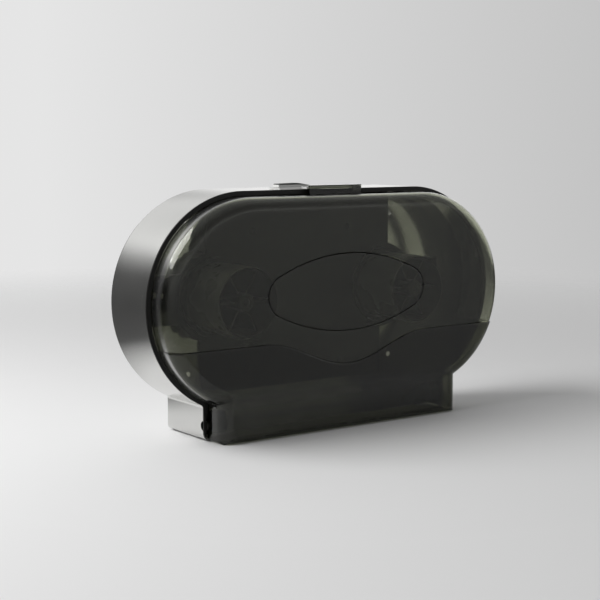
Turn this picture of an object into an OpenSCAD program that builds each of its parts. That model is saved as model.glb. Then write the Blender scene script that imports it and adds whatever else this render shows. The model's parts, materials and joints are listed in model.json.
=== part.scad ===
// Twin jumbo toilet roll dispenser: a sheet metal back with round ends and a narrow neck,
// a smoked cover that hinges down at the foot of the neck, two core spindles side by side,
// and a slide latch on the top edge.
// X runs along the length, +Y points at the wall, Z is up. The origin is at the bottom centre.

/* [Case] */
// Overall width over the round ends
case_w = 489; // [440:1:530]
// Height of the shell above its foot
case_h = 273; // [246:1:300]
// Height of the neck below the round ends
neck_h = 28; // [24:0.5:34]
// How far the neck is set in from the round ends
neck_in = 70; // [64:0.5:78]
// Radius of the small blend between the round ends and the neck
blend_r = 5; // [3:0.5:7]
// Corner radius at the foot of the neck
toe_r = 10; // [7:0.5:12]
// Depth of the back shell, from the wall to its rim
body_depth = 78; // [72:1:90]
// Thickness of the sheet metal
shell_wall = 1.5; // [1:0.1:2.2]
// Rounding of the bend round the back of the shell
bend_r = 4; // [3:0.5:6]
// Depth of the floor of the shell, from the wall
floor_depth = 54; // [48:1:56]

/* [Cover] */
// Depth of the cover in front of the rim
cover_depth = 36; // [32:1:44]
// Distance from the edge of the shell to the side of the cover
cover_inset = 5.3; // [5:0.1:6]
// Wall thickness of the cover
cover_wall = 2.2; // [1.6:0.1:3]
// Radius of the long front edge of the cover
cover_edge_r = 17; // [12:0.5:19]
// Radius of the front edge under the neck
foot_edge_r = 10; // [6:0.5:12]
// How far the lower part of the cover stands proud of the upper part
step = 0.8; // [0.4:0.1:1.2]
// Height of the level ends of the wave line
wave_z = 105.5; // [100:0.5:110]
// Drop of the wave at its middle
wave_drop = 30; // [15:1:36]
// Half the length of the dip in the wave
wave_reach = 114; // [90:1:130]
// Half length of the oval line on the front
oval_a = 111; // [90:1:118]
// Half height of the oval line on the front
oval_b = 44; // [36:1:46]
// Radius of the tight ends of the oval
oval_end_r = 24; // [18:1:30]
// Height of the middle of the oval above the middle of the round ends
oval_up = 7; // [4:0.5:12]
// Width of the engraved oval line
oval_line = 1.3; // [0.8:0.1:2]
// Depth of the engraved oval line
oval_cut = 0.7; // [0.3:0.1:1.1]

/* [Rim frame] */
// Thickness of the frame in front of the metal rim
frame_t = 1.8; // [1.2:0.1:2.4]
// Width of the frame's face
frame_w = 5; // [4.2:0.1:5]
// Depth of the leg that locates the frame inside the shell
frame_leg = 4; // [2.5:0.5:4.5]
// Thickness of that leg
frame_leg_t = 1.6; // [1:0.1:2]
// Height of the fine ridge on the face of the frame
ridge_h = 0.4; // [0.2:0.1:0.6]

/* [Hinge] */
// Height of the hinge line
hinge_z = 17.7; // [16.5:0.1:20]
// Distance of the hinge line in front of the rim
hinge_front = 1; // [0.5:0.1:2]
// Radius of the hinge pin
pin_r = 3; // [2.5:0.1:3.5]
// Radius of the pin's head
pin_head_r = 5.2; // [4.6:0.1:5.3]
// Thickness of the pin's head
pin_head_t = 2.6; // [2:0.1:3]
// Radius of the round notch that shows the pin's head
notch_r = 5.6; // [5.2:0.1:6.4]
// Radius of the knuckle on the cover
knuckle_r = 7; // [6:0.5:8]
// Width of the knuckle inside the cover's side
knuckle_w = 4; // [3:0.5:6]
// Width of the block that carries the pin
block_w = 15; // [12:0.5:20]
// Radius of the nose of the block round the pin
block_nose_r = 7.5; // [6.5:0.5:8]

/* [Roll bracket] */
// How far the middle of the bracket reaches past the spindles
bracket_past = 11; // [6:1:16]
// Height of the bottom of the bracket's raised part
bracket_low = 103; // [98:1:108]
// Distance from the top of the bracket to the top of the shell
bracket_drop = 19; // [15:1:25]
// Height of the flat apron below the raised part
apron_h = 66; // [50:1:70]
// Ribs behind the face of the bracket
ribs = 6; // [3:1:9]
// Thickness of these ribs
rib_t = 2; // [1.5:0.1:3]
// Radius of the bosses behind the axles
axle_boss_r = 16; // [12:1:20]
// Radius of the bosses behind the screws
screw_boss_r = 6; // [5:0.5:8]
// Distance of the upper screws below the top of the bracket
screw_down = 30; // [20:1:40]
// Distance of the arm screws from the ends of the arms
screw_in = 15; // [10:1:20]
// How far the raised part stands off the back wall
bracket_rise = 18.5; // [16:0.5:22]
// Wall of the bracket moulding
bracket_wall = 3; // [2.5:0.5:4]
// Radius of the round pads under the spindles
pad_r = 52; // [50:1:56]
// Half height of the side arms
arm_h = 28; // [20:1:32]
// Reach of the side arms past the spindles
arm_reach = 92; // [80:1:96]
// Radius of the wall fixing holes
fixing_r = 3.25; // [2.5:0.25:4]
// Spacing of the wall fixing holes along X
fixing_dx = 300; // [290:2:310]
// Distance from the upper wall fixing holes to the top of the shell
fixing_drop = 35; // [30:1:40]
// Height of the lower wall fixing holes
fixing_z = 58; // [54:1:62]

/* [Spindles] */
// Radius of the drum that a roll core slides onto
drum_r = 40.3; // [38:0.1:42]
// Wall of the drum
drum_wall = 2.4; // [2:0.1:3.5]
// Length of the drum in front of its flange
drum_len = 66; // [58:1:72]
// Radius of the flange behind the roll
flange_r = 46; // [44:0.5:50]
// Thickness of the flange
flange_t = 3; // [2:0.5:4]
// Radius of the axle
axle_r = 6; // [5:0.25:7]
// Running clearance between axle and spindle
axle_gap = 0.06; // [0.02:0.01:0.09]
// Radius of the spindle's inner sleeve
sleeve_r = 10.5; // [9:0.5:13]
// Spokes between sleeve and drum
spokes = 6; // [3:1:8]

/* [Latch] */
// Length of the tab on the cover
tab_w = 75; // [70:1:80]
// Height of the tab above the shell
tab_up = 4.5; // [4.3:0.1:5]
// Depth of the tab
tab_d = 10; // [9.5:0.1:11]
// Travel of the slide
latch_travel = 10; // [8:0.5:10]
// Length of the thumb piece
thumb_w = 50; // [44:1:54]
// Length of its sloping end
thumb_slope = 23; // [18:1:26]
// Depth of the thumb piece
thumb_d = 11; // [10:0.5:12]
// Height of the thumb piece
thumb_h = 4.4; // [4:0.1:5.5]
// Thickness of the latch's base plate
base_t = 2.4; // [2:0.1:2.6]
// How far the open end of the tab slants back
tab_slant = 7.5; // [4:0.5:8]
// Grip ribs on the thumb piece
thumb_ribs = 5; // [3:1:6]

/* [Tear bars] */
// Distance from the middle of the lip to the near end of each bar
bar_start = 8; // [6:1:12]
// Distance from the far end of each bar to the side of the neck
bar_in = 16.5; // [15:0.5:25]
// Thickness of the bars
bar_t = 1; // [0.8:0.1:1.5]
// Depth of the bars on the lip of the cover
bar_d = 8; // [7:0.5:10]
// Pitch of the teeth
tooth = 4; // [3:0.5:6]
// Depth of the teeth
tooth_d = 2.6; // [1.5:0.1:3.5]

/* [Fasteners] */
// Radius of the screw heads
head_r = 3.8; // [3.2:0.1:4.4]
// Height of the screw heads
head_h = 2.2; // [1.6:0.1:2.6]
// Radius of the screws
screw_r = 1.8; // [1.5:0.1:2]
// Radius of the rivet heads
rivet_head_r = 2.4; // [2:0.1:2.8]
// Height of the rivet heads
rivet_head_h = 0.9; // [0.6:0.1:1.2]
// Radius of the rivets
rivet_r = 1.5; // [1.2:0.1:1.7]

/* [Hidden] */
$fn = 96;

// Small gap between seated pieces
seat = 0.1;
// Working gap between pieces that move past each other
gap = 0.3;
// Overshoot of cuts past a face
over = 1;
// Overlap that makes touching arcs cross cleanly
lap = 0.02;

back_y = (body_depth + cover_depth) / 2;
rim_y = back_y - body_depth;
end_r = (case_h - neck_h) / 2;
end_x = case_w / 2 - end_r;
end_z = case_h - end_r;
neck_w = case_w - 2 * neck_in;
neck_x = neck_w / 2;
inner_back = body_depth - shell_wall;
throat = body_depth - floor_depth;
oval_z = end_z + oval_up;
bracket_w = 2 * (end_x + bracket_past);
bracket_top = case_h - bracket_drop;
fixing_dz = case_h - fixing_drop - fixing_z;

// Centre of the blend between a round end and the neck
blend_x = neck_x + blend_r;
blend_z = end_z - sqrt(pow(end_r + blend_r, 2) - pow(blend_x - end_x, 2));

// Depths below are measured from the rim: towards the wall for the shell, forwards for the cover
pad_face = inner_back - bracket_rise;
flange_face = pad_face - 1;
drum_end = flange_face - flange_t - drum_len;
axle_end = drum_end + 6;
washer_t = 1.2;
washer_r = sleeve_r - 1;

side_x = neck_x - cover_inset;
knuckle_x = side_x - cover_wall - knuckle_w;
block_x = knuckle_x - gap;
block_end_x = block_x - block_w;
head_x = side_x + gap;
frame_face = frame_t + ridge_h + gap;
// Thickness of the strip of the frame that passes the pin's head
pin_strip = neck_x - head_x - pin_head_t - gap;
tab_back = 0.2;
lip_front = cover_depth - step - foot_edge_r - bar_d - gap;

shell_top = case_h;
slide_z = shell_top + 0.5;
slide_t = 2.1;
tab_top = shell_top + tab_up;
tab_roof = 1.6;
tab_wall = 1.5;
catch_w = 11.5;
catch_x = tab_w / 2 - 1 - catch_w;
catch_foot = 3;
bar_front = 7;
tip_d = 3.6;
teeth = floor((neck_x - bar_start - bar_in) / tooth);
thumb_x = -tab_w / 2 - thumb_w + tab_w / 4 - 0.85;
thumb_y = 4.5;
thumb_z = shell_top + base_t + 0.2;
stem_w = 12;
stem_x = thumb_x + 0.75 * stem_w;
stem_d = 4;
stem_y = thumb_y + (thumb_d - stem_d) / 2;
retainer_t = 2;
base_y = thumb_y - 1;
base_d = thumb_d + 9;
base_w = thumb_w + latch_travel - 4;
hole_r = screw_r + seat;
rivet_hole_r = rivet_r + seat;
bracket_screw_x = 0.26 * bracket_w;
axle_tail = 13;
axle_thread = 12;
block_foot = 24;
block_screw_d = 8;

steel = "silver";
smoke = [0.27, 0.27, 0.24, 0.72];
black = [0.09, 0.09, 0.09];
zinc = [0.7, 0.7, 0.7];

// Places its children with depth 0 at the rim and depth growing towards the wall
module in_shell() { translate([0, rim_y, 0]) children(); }

// Places its children with depth 0 at the rim and depth growing towards the front
module in_cover() { translate([0, rim_y, 0]) mirror([0, 1, 0]) children(); }

// Extrudes a front view between two depths
module front_view(from, to) {
    translate([0, to, 0]) rotate([90, 0, 0]) linear_extrude(to - from) children();
}

// Extrudes a side view, drawn as height and depth, between two places along X
module side_view(from, to) {
    translate([to, 0, 0]) rotate([0, -90, 0]) linear_extrude(to - from) children();
}

// A rectangle of width w and depth d with its two far corners rounded
module round_front(w, d, r) {
    translate([-w / 2, 0]) square([w, d - r]);
    translate([-w / 2 + r, 0]) square([w - 2 * r, d]);
    for (side = [-1, 1]) translate([side * (w / 2 - r), d - r]) circle(r = r);
}

// Front view of the case, drawn in by inset all round, with its foot at sole
module outline(inset, sole = 0, corner = toe_r) {
    r = end_r - inset;
    nx = neck_x - inset;
    ray = [blend_x - end_x, blend_z - end_z] / (end_r + blend_r);
    for (side = [-1, 1]) translate([side * end_x, end_z]) circle(r = r);
    translate([-end_x, end_z - r]) square([2 * end_x, 2 * r]);
    translate([-nx, sole + corner]) square([2 * nx, end_z - sole - corner]);
    translate([-nx + corner, sole]) square([2 * (nx - corner), corner + over]);
    for (side = [-1, 1]) translate([side * (nx - corner), sole + corner]) circle(r = corner);
    for (side = [0, 1]) mirror([side, 0]) difference() {
        inner = [end_x, end_z] + ray * (r - 2);
        polygon([[nx - 2, blend_z], [blend_x, blend_z], inner, [nx - 2, inner[1]]]);
        translate([blend_x, blend_z]) circle(r = blend_r + inset + lap);
    }
}

// The case as one rounded solid: two round ends, the straight between them and the neck,
// with edge as the radius of the far edge and foot as the radius under the neck
module case_form(inset, reach, edge, sole, foot, corner) {
    r = end_r - inset;
    for (side = [0, 1]) mirror([side, 0, 0])
        translate([end_x, 0, end_z]) rotate([-90, 0, 0]) rotate([0, 0, -90])
            rotate_extrude(angle = 180) intersection() {
                round_front(2 * r, reach, edge);
                square([r, reach]);
            }
    translate([0, 0, end_z]) side_view(-end_x, end_x) round_front(2 * r, reach, edge);
    intersection() {
        translate([0, 0, sole]) linear_extrude(end_z - sole)
            round_front(neck_w - 2 * inset, reach, edge);
        side_view(-neck_x, neck_x) {
            translate([sole, 0]) square([end_z, reach - foot]);
            translate([sole + foot, 0]) square([end_z, reach]);
            translate([sole + foot, reach - foot]) circle(r = foot);
        }
        front_view(0, reach) outline(inset, sole, corner);
    }
}

// Height of the wave line at x
function wave(x) = wave_z - (abs(x) < wave_reach ? wave_drop * (1 + cos(180 * x / wave_reach)) / 2 : 0);

// Front view of everything below the wave line
module below_wave() {
    n = 44;
    far = case_w / 2 + over;
    polygon(concat([[-far, -over], [-far, wave_z]],
                   [for (i = [0 : n]) let (x = wave_reach * (2 * i / n - 1)) [x, wave(x)]],
                   [[far, wave_z], [far, -over]]));
}

// Oval made of two flat arcs and two tight ends, drawn out by grow
module oval(grow) {
    side_r = (pow(oval_a, 2) + pow(oval_b, 2) - 2 * oval_a * oval_end_r) / (2 * (oval_b - oval_end_r));
    drop = side_r - oval_b;
    end = oval_a - oval_end_r;
    touch = end * side_r / (side_r - oval_end_r);
    for (side = [-1, 1]) translate([side * end, 0]) circle(r = oval_end_r + grow);
    intersection() {
        translate([0, -drop]) circle(r = side_r + grow, $fn = 180);
        translate([0, drop]) circle(r = side_r + grow, $fn = 180);
        square([2 * touch, 2 * oval_b + 4], center = true);
    }
}

// A round-ended screw or rivet head of radius r and height h, standing up along Z on a shank
module fastener(r, h, shank_r, shank) {
    rotate_extrude() {
        intersection() {
            translate([0, h - (r * r + h * h) / (2 * h)]) circle(r = (r * r + h * h) / (2 * h));
            square([r, h]);
        }
        translate([0, -shank]) square([shank_r, shank + h / 2]);
    }
}

// ---------- Back shell and what is fixed to it ----------

module fixing_places() {
    for (x = [-1, 1], z = [0, 1]) translate([x * fixing_dx / 2, inner_back, fixing_z + z * fixing_dz])
        rotate([-90, 0, 0]) children();
}

module bracket_screw_places(low = true) {
    places = [[bracket_screw_x, bracket_top - screw_down], [end_x + arm_reach - screw_in, end_z + arm_h / 4],
              [bracket_screw_x, bracket_low - 2 * apron_h / 3]];
    for (side = [-1, 1], i = [0 : low ? 2 : 1])
        translate([side * places[i][0], 0, places[i][1]]) rotate([90, 0, 0]) children();
}

module latch_rivet_places() {
    for (x = [6, base_w - 6])
        translate([thumb_x + 0.5 + x, base_y + base_d - 4, shell_top]) children();
}

block_screw_y = throat + 0.6 * block_foot;

module block_screw_places() {
    for (side = [-1, 1])
        translate([side * (block_x + block_end_x) / 2, block_screw_y, shell_wall]) children();
}

module rear_housing() {
    color(steel) in_shell() difference() {
        union() {
            case_form(0, body_depth, bend_r, 0, bend_r, toe_r);
            front_view(0, body_depth - bend_r) outline(0);
        }
        translate([0, -over, 0]) union() {
            case_form(shell_wall, inner_back + over, bend_r - shell_wall, shell_wall,
                      bend_r - shell_wall, toe_r - shell_wall);
            front_view(0, inner_back + over - bend_r) outline(shell_wall, shell_wall, toe_r - shell_wall);
        }
        // Open throat under the rolls
        translate([-neck_x + frame_w - gap, -over, -over])
            cube([neck_w - 2 * (frame_w - gap), throat + over, toe_r + shell_wall + over]);
        // Round notches at the hinge
        for (side = [-1, 1]) translate([side * neck_x, -hinge_front, hinge_z])
            rotate([0, 90, 0]) cylinder(r = notch_r, h = 4 * shell_wall, center = true);
        // Wall fixings, slot for the latch, holes for screws and rivets
        fixing_places() translate([0, 0, -over]) cylinder(r = fixing_r, h = shell_wall + 2 * over);
        translate([stem_x - gap, stem_y - gap, shell_top - 2 * shell_wall])
            cube([stem_w + latch_travel + 2 * gap, stem_d + 2 * gap, 3 * shell_wall]);
        latch_rivet_places() translate([0, 0, -2 * shell_wall]) cylinder(r = rivet_hole_r, h = 3 * shell_wall);
        translate([0, inner_back, 0]) bracket_screw_places()
            translate([0, 0, -2 * shell_wall]) cylinder(r = hole_r, h = 3 * shell_wall);
        block_screw_places() translate([0, 0, -2 * shell_wall]) cylinder(r = hole_r, h = 3 * shell_wall);
    }
}

module rim_frame() {
    color(black) in_shell() difference() {
        union() {
            front_view(-frame_t, 0) outline(0);
            front_view(-over / 2, frame_leg)
                outline(shell_wall + seat, shell_wall + seat, toe_r - shell_wall - seat);
            difference() {
                front_view(-frame_t - ridge_h, -frame_t) outline(2);
                front_view(-frame_t - over, 0) outline(2.8);
            }
        }
        front_view(-frame_t / 2 - over, frame_leg + over)
            outline(shell_wall + seat + frame_leg_t, -over, over);
        front_view(-frame_t - 2 * over, 0) outline(frame_w, -over, over);
        // The frame ends at the foot on both sides, clear of the turning cover
        translate([-neck_x + frame_w, -2 * frame_t, -over])
            cube([neck_w - 2 * frame_w, 2 * frame_t + frame_leg + over, hinge_z]);
        // Room for the pin's head, behind a thin strip that carries the frame past it
        for (side = [0, 1]) mirror([side, 0, 0]) {
            translate([pin_strip - neck_x, -hinge_front, hinge_z]) rotate([0, 90, 0])
                cylinder(r = notch_r, h = 2 * frame_w);
            translate([-neck_x, 0, hinge_z - notch_r])
                cube([2 * frame_leg_t + shell_wall, frame_leg + over, 2 * notch_r]);
        }
        // The leg is cut away under the latch
        translate([thumb_x - 2, over / 2, shell_top - 2 * frame_leg])
            cube([base_w + 4, frame_leg + over, 2 * frame_leg]);
    }
}

// Front view of the raised part of the bracket, drawn in by inset
module bracket_outline(inset) {
    half = bracket_w / 2 - inset;
    corner = 8;
    translate([-half, bracket_low + inset])
        square([2 * half, bracket_top - bracket_low - 2 * inset - corner]);
    translate([-half + corner, bracket_top - inset - corner - over]) square([2 * (half - corner), corner + over]);
    for (side = [-1, 1]) {
        translate([side * (half - corner), bracket_top - inset - corner]) circle(r = corner);
        translate([side * end_x, end_z]) circle(r = pad_r - inset);
    }
    translate([-end_x - arm_reach + inset, end_z - arm_h + inset])
        square([2 * (end_x + arm_reach - inset), 2 * (arm_h - inset)]);
}

module roll_bracket() {
    color(black) in_shell() difference() {
        union() {
            difference() {
                front_view(pad_face, inner_back) bracket_outline(0);
                front_view(pad_face + bracket_wall, inner_back + over) bracket_outline(bracket_wall);
            }
            // Ribs and axle bosses behind the face, and the flat apron below it
            intersection() {
                front_view(pad_face, inner_back) bracket_outline(0);
                union() {
                    for (i = [1 : ribs])
                        translate([bracket_w * (i / (ribs + 1) - 0.5) - rib_t / 2, pad_face, bracket_low])
                            cube([rib_t, inner_back - pad_face, bracket_top - bracket_low]);
                    bracket_screw_places(false) translate([0, 0, -inner_back])
                        cylinder(r = screw_boss_r, h = inner_back - pad_face);
                }
            }
            for (side = [-1, 1]) translate([side * end_x, pad_face, end_z]) rotate([-90, 0, 0])
                cylinder(r = axle_boss_r, h = inner_back - pad_face);
            translate([-bracket_w / 2, inner_back - bracket_wall, bracket_low - apron_h])
                cube([bracket_w, bracket_wall, apron_h + bracket_wall]);
        }
        for (side = [-1, 1]) translate([side * end_x, pad_face - over, end_z]) rotate([-90, 0, 0])
            cylinder(r = axle_r - 1 + seat, h = axle_tail + 2 * over);
        bracket_screw_places() translate([0, 0, -inner_back - over])
            cylinder(r = hole_r, h = inner_back + 2 * over);
    }
}

module bracket_screws() {
    color(zinc) in_shell() {
        translate([0, pad_face, 0]) bracket_screw_places(false)
            fastener(head_r, head_h, screw_r, bracket_rise + shell_wall);
        translate([0, inner_back - bracket_wall, 0]) difference() {
            bracket_screw_places() fastener(head_r, head_h, screw_r, bracket_wall + shell_wall);
            translate([-case_w / 2, -body_depth, bracket_low]) cube([case_w, 2 * body_depth, case_h]);
        }
    }
}

module axle(side) {
    color(zinc) in_shell() translate([side * end_x, pad_face, end_z]) rotate([90, 0, 0]) difference() {
        rotate_extrude() {
            square([axle_r, pad_face - axle_end]);
            square([axle_r + 5, 0.8]);
            translate([0, -axle_tail]) square([axle_r - 1, axle_tail + over]);
        }
        translate([0, 0, pad_face - axle_end - axle_thread]) cylinder(r = 2, h = axle_thread + over);
    }
}

module axle_washer(side) {
    color(zinc) in_shell() translate([side * end_x, axle_end, end_z]) rotate([90, 0, 0]) difference() {
        cylinder(r = washer_r, h = washer_t);
        translate([0, 0, -over]) cylinder(r = 2 + seat, h = washer_t + 2 * over);
    }
}

module axle_screw(side) {
    color(zinc) in_shell() translate([side * end_x, axle_end - washer_t, end_z]) rotate([90, 0, 0])
        difference() {
            fastener(4, 2.6, 2 - seat / 2, washer_t + 9);
            translate([-3, -0.5, 1.6]) cube([6, 1, 2]);
        }
}

module core_spindle(side) {
    inner_r = drum_r - drum_wall;
    color([0.35, 0.35, 0.33]) in_shell() translate([side * end_x, flange_face, end_z]) rotate([90, 0, 0])
        difference() {
            union() {
                rotate_extrude() {
                    difference() {
                        union() {
                            square([flange_r, flange_t]);
                            translate([0, flange_t]) square([drum_r, drum_len - 5]);
                            polygon([[0, flange_t + drum_len - 5], [drum_r, flange_t + drum_len - 5],
                                     [drum_r - 1.2, flange_t + drum_len], [0, flange_t + drum_len]]);
                        }
                        translate([sleeve_r, flange_t]) square([inner_r - sleeve_r, drum_len + over]);
                        translate([0, flange_face - axle_end - gap]) square([sleeve_r, drum_len]);
                    }
                }
                for (a = [0 : spokes - 1]) rotate([0, 0, a * 360 / spokes])
                    translate([sleeve_r - 1, -1, over])
                        cube([inner_r - sleeve_r + 2, 2, flange_face - axle_end - 8]);
            }
            translate([0, 0, -over]) cylinder(r = axle_r + axle_gap, h = drum_len + 3 * over);
        }
}

module hinge_block(side) {
    top = block_nose_r + 7.5;
    color(black) in_shell() mirror([side > 0 ? 1 : 0, 0, 0]) difference() {
        union() {
            side_view(-block_x, -block_end_x) {
                translate([hinge_z, -hinge_front]) circle(r = block_nose_r);
                translate([hinge_z - block_nose_r, -hinge_front]) square([2 * block_nose_r, throat]);
                polygon([[hinge_z, -hinge_front - block_nose_r + 1], [hinge_z + top, -hinge_front - 2],
                         [hinge_z + top, 4], [hinge_z, throat + 4]]);
                polygon([[shell_wall, throat + 4], [hinge_z - block_nose_r, throat - 6],
                         [hinge_z + block_nose_r, throat - 6], [shell_wall + 5, throat + block_foot],
                         [shell_wall, throat + block_foot]]);
            }
        }
        translate([-block_x - over, -hinge_front, hinge_z]) rotate([0, 90, 0])
            cylinder(r = pin_r, h = block_w + 2 * over);
        translate([-(block_x + block_end_x) / 2, block_screw_y, 0])
            cylinder(r = rivet_r, h = hinge_z + 2 * block_nose_r);
    }
}

module hinge_block_screws() {
    color(zinc) in_shell() block_screw_places() translate([0, 0, -shell_wall]) mirror([0, 0, 1])
        translate([0, 0, -rivet_head_h]) rotate_extrude() {
            square([rivet_r, rivet_head_h]);
            translate([0, -block_screw_d]) square([rivet_r - seat / 2, block_screw_d]);
        }
}

module hinge_pin(side) {
    color(zinc) in_shell() mirror([side > 0 ? 1 : 0, 0, 0])
        translate([-head_x, -hinge_front, hinge_z]) rotate([0, 90, 0]) rotate_extrude() {
            translate([0, -pin_head_t]) square([pin_head_r, pin_head_t]);
            square([pin_r, head_x - block_end_x]);
        }
}

module latch_base() {
    color(steel) in_shell() difference() {
        translate([thumb_x + 0.5, base_y, shell_top]) cube([base_w, base_d, base_t]);
        translate([stem_x - gap, stem_y - gap, shell_top - over])
            cube([stem_w + latch_travel + 2 * gap, stem_d + 2 * gap, base_t + 2 * over]);
        latch_rivet_places() translate([0, 0, -over]) cylinder(r = rivet_hole_r, h = base_t + 2 * over);
    }
}

module latch_base_rivets() {
    color(zinc) in_shell() latch_rivet_places() translate([0, 0, base_t]) 
        fastener(rivet_head_r, rivet_head_h, rivet_r, base_t + 2.5);
}

// ---------- Cover and what is fixed to it ----------

module front_cover() {
    upper = cover_inset + step;
    inner = upper + cover_wall;
    depth = cover_depth - step;
    back = frame_t - 1.3;
    color(smoke) in_cover() difference() {
        union() {
            difference() {
                union() {
                    case_form(upper, depth, cover_edge_r, 0, foot_edge_r, toe_r - upper);
                    front_view(0, depth - cover_edge_r) outline(upper, 0, toe_r - upper);
                    intersection() {
                        union() {
                            case_form(cover_inset, cover_depth, cover_edge_r, 0, foot_edge_r,
                                      toe_r - cover_inset);
                            front_view(0, cover_depth - cover_edge_r)
                                outline(cover_inset, 0, toe_r - cover_inset);
                        }
                        front_view(0, cover_depth + over) below_wave();
                    }
                }
                translate([0, -over, 0]) case_form(inner, depth - cover_wall + over,
                    cover_edge_r - cover_wall, cover_wall, foot_edge_r - cover_wall, 2);
                // Open throat behind the lip
                translate([-neck_x + inner, -over, -over])
                    cube([neck_w - 2 * inner, lip_front + over, cover_wall + 2 * over]);
                // Engraved oval
                front_view(depth - oval_cut, depth + over) translate([0, oval_z]) difference() {
                    oval(oval_line / 2);
                    oval(-oval_line / 2);
                }
                translate([-case_w / 2, -over, -over]) cube([case_w, back + over, case_h + 2 * over]);
            }
            // Tab over the latch
            tab_shape();
            // Knuckles round the hinge pins
            for (side = [0, 1]) mirror([side, 0, 0])
                translate([-side_x, hinge_front, hinge_z]) rotate([0, 90, 0])
                    cylinder(r = knuckle_r, h = cover_wall + knuckle_w);
        }
        for (side = [-1, 1]) translate([side * side_x, hinge_front, hinge_z]) rotate([0, 90, 0])
            cylinder(r = pin_r + 0.06, h = 4 * (cover_wall + knuckle_w), center = true);
        // Room in the tab for the slide and the catch
        translate([-tab_w / 2 - over, -over, slide_z - gap])
            cube([tab_w / 2 + catch_x + over, bar_front + gap + over, slide_t + 2 * gap]);
        translate([catch_x - seat, -over, shell_top - catch_foot])
            cube([catch_w + 2 * seat, tab_d - tab_wall + over, tab_up - tab_roof + catch_foot + seat]);
    }
}

module tab_shape() {
    r = 1.5;
    base = shell_top - cover_inset - step - cover_wall;
    intersection() {
        side_view(-tab_w / 2, tab_w / 2) {
            translate([base, frame_face]) square([tab_top - r - base, tab_d - frame_face]);
            translate([base, frame_face]) square([tab_top - base, tab_d - r - frame_face]);
            translate([tab_top - r, tab_d - r]) circle(r = r);
            translate([shell_top + gap, tab_back]) square([tab_up - gap, tab_d / 2]);
        }
        translate([0, 0, base]) linear_extrude(tab_top - base) difference() {
            round_front(tab_w, tab_d, r);
            polygon([[-tab_w / 2 - over, tab_d - r], [-tab_w / 2, tab_d - r], [tab_slant - tab_w / 2, -over],
                     [-tab_w / 2 - over, -over]]);
        }
    }
}

module latch_catch() {
    r = 1.2;
    front = tab_d - tab_wall - seat;
    high = tab_top - tab_roof;
    color(black) in_cover() difference() {
        union() {
            front_view(tab_back, front) {
                translate([catch_x + r, slide_z - gap]) square([catch_w - 2 * r, high - slide_z + gap]);
                translate([catch_x, slide_z - gap]) square([catch_w, high - slide_z + gap - r]);
                for (x = [r, catch_w - r]) translate([catch_x + x, high - r]) circle(r = r);
            }
            translate([catch_x, frame_face, shell_top - catch_foot])
                cube([catch_w, front - frame_face, catch_foot + slide_z - shell_top]);
        }
        // Pocket for the tip of the slide
        translate([catch_x - over, bar_front - tip_d - gap, slide_z - gap])
            cube([latch_travel + over + gap, tip_d + 2 * gap, slide_t + 2 * gap]);
    }
}

// Serrated strip on the lip; side picks the left or right one
module tear_bar(side) {
    color(steel) in_cover() mirror([side < 0 ? 1 : 0, 0, 0])
        translate([bar_start, lip_front, cover_wall]) difference() {
            linear_extrude(bar_t) polygon(concat([[teeth * tooth, 0], [teeth * tooth, bar_d], [0, bar_d], [0, 0]],
                [for (i = [0 : teeth - 1]) each [[(i + 0.5) * tooth, -tooth_d], [(i + 1) * tooth, 0]]]));
            for (x = [0.1, 0.5, 0.9]) translate([x * teeth * tooth, bar_d / 2, -over])
                cylinder(r = rivet_hole_r, h = bar_t + 2 * over);
        }
}

module tear_bar_rivets() {
    color(zinc) in_cover() for (side = [-1, 1], x = [0.1, 0.5, 0.9])
        translate([side * (bar_start + x * teeth * tooth), lip_front + bar_d / 2, cover_wall + bar_t])
            fastener(rivet_head_r, rivet_head_h, rivet_r, bar_t);
}

// ---------- Slide ----------

module latch_slider() {
    flat_w = thumb_w - thumb_slope;
    top = thumb_z + thumb_h;
    bar_end = catch_x - gap;
    tip_x = bar_end - latch_travel - gap;
    arm_w = 8;
    arm_x = thumb_x + thumb_w - thumb_slope / 2 - arm_w;
    drop_y = 0.8;
    color([0.32, 0.33, 0.32]) in_shell() union() {
        difference() {
            translate([0, thumb_y, 0]) front_view(0, thumb_d) polygon([
                [thumb_x, thumb_z], [thumb_x + thumb_w, thumb_z], [thumb_x + thumb_w, thumb_z + 1],
                [thumb_x + flat_w, top], [thumb_x + 1.5, top - 0.6], [thumb_x, top - 1.8]]);
            for (i = [0 : thumb_ribs - 1]) translate([thumb_x + 4 + 3 * i, thumb_y - over, top - 0.6])
                cube([1.2, thumb_d + 2 * over, 1]);
        }
        translate([stem_x, stem_y, shell_top - shell_wall - 0.2])
            cube([stem_w, stem_d, thumb_z - shell_top + shell_wall + 1]);
        // Arm that steps down in front of the base plate
        translate([arm_x, drop_y, thumb_z]) cube([arm_w, thumb_y - drop_y + 1, 1]);
        translate([arm_x, drop_y, slide_z]) cube([arm_w, base_y - gap - drop_y, thumb_z + 1 - slide_z]);
        translate([arm_x, -bar_front, slide_z]) cube([arm_w, bar_front + base_y - gap, slide_t]);
        translate([arm_x, -bar_front, slide_z]) cube([tip_x - arm_x, bar_front + 2, slide_t]);
        translate([tip_x - over, -bar_front, slide_z]) cube([bar_end - tip_x + over, tip_d, slide_t]);
    }
}

module latch_retainer() {
    color(black) in_shell() difference() {
        translate([stem_x - 4, stem_y - 3, shell_top - shell_wall - 0.2 - retainer_t])
            cube([stem_w + 8, stem_d + 6, retainer_t]);
        translate([stem_x + stem_w / 2, stem_y + stem_d / 2, shell_top - 6]) cylinder(r = 1.3, h = 6);
    }
}

module latch_screw() {
    color(zinc) in_shell() translate([stem_x + stem_w / 2, stem_y + stem_d / 2,
                                      shell_top - shell_wall - 0.2 - retainer_t])
        mirror([0, 0, 1]) fastener(2.6, 1.4, 1.2, retainer_t);
}

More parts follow.
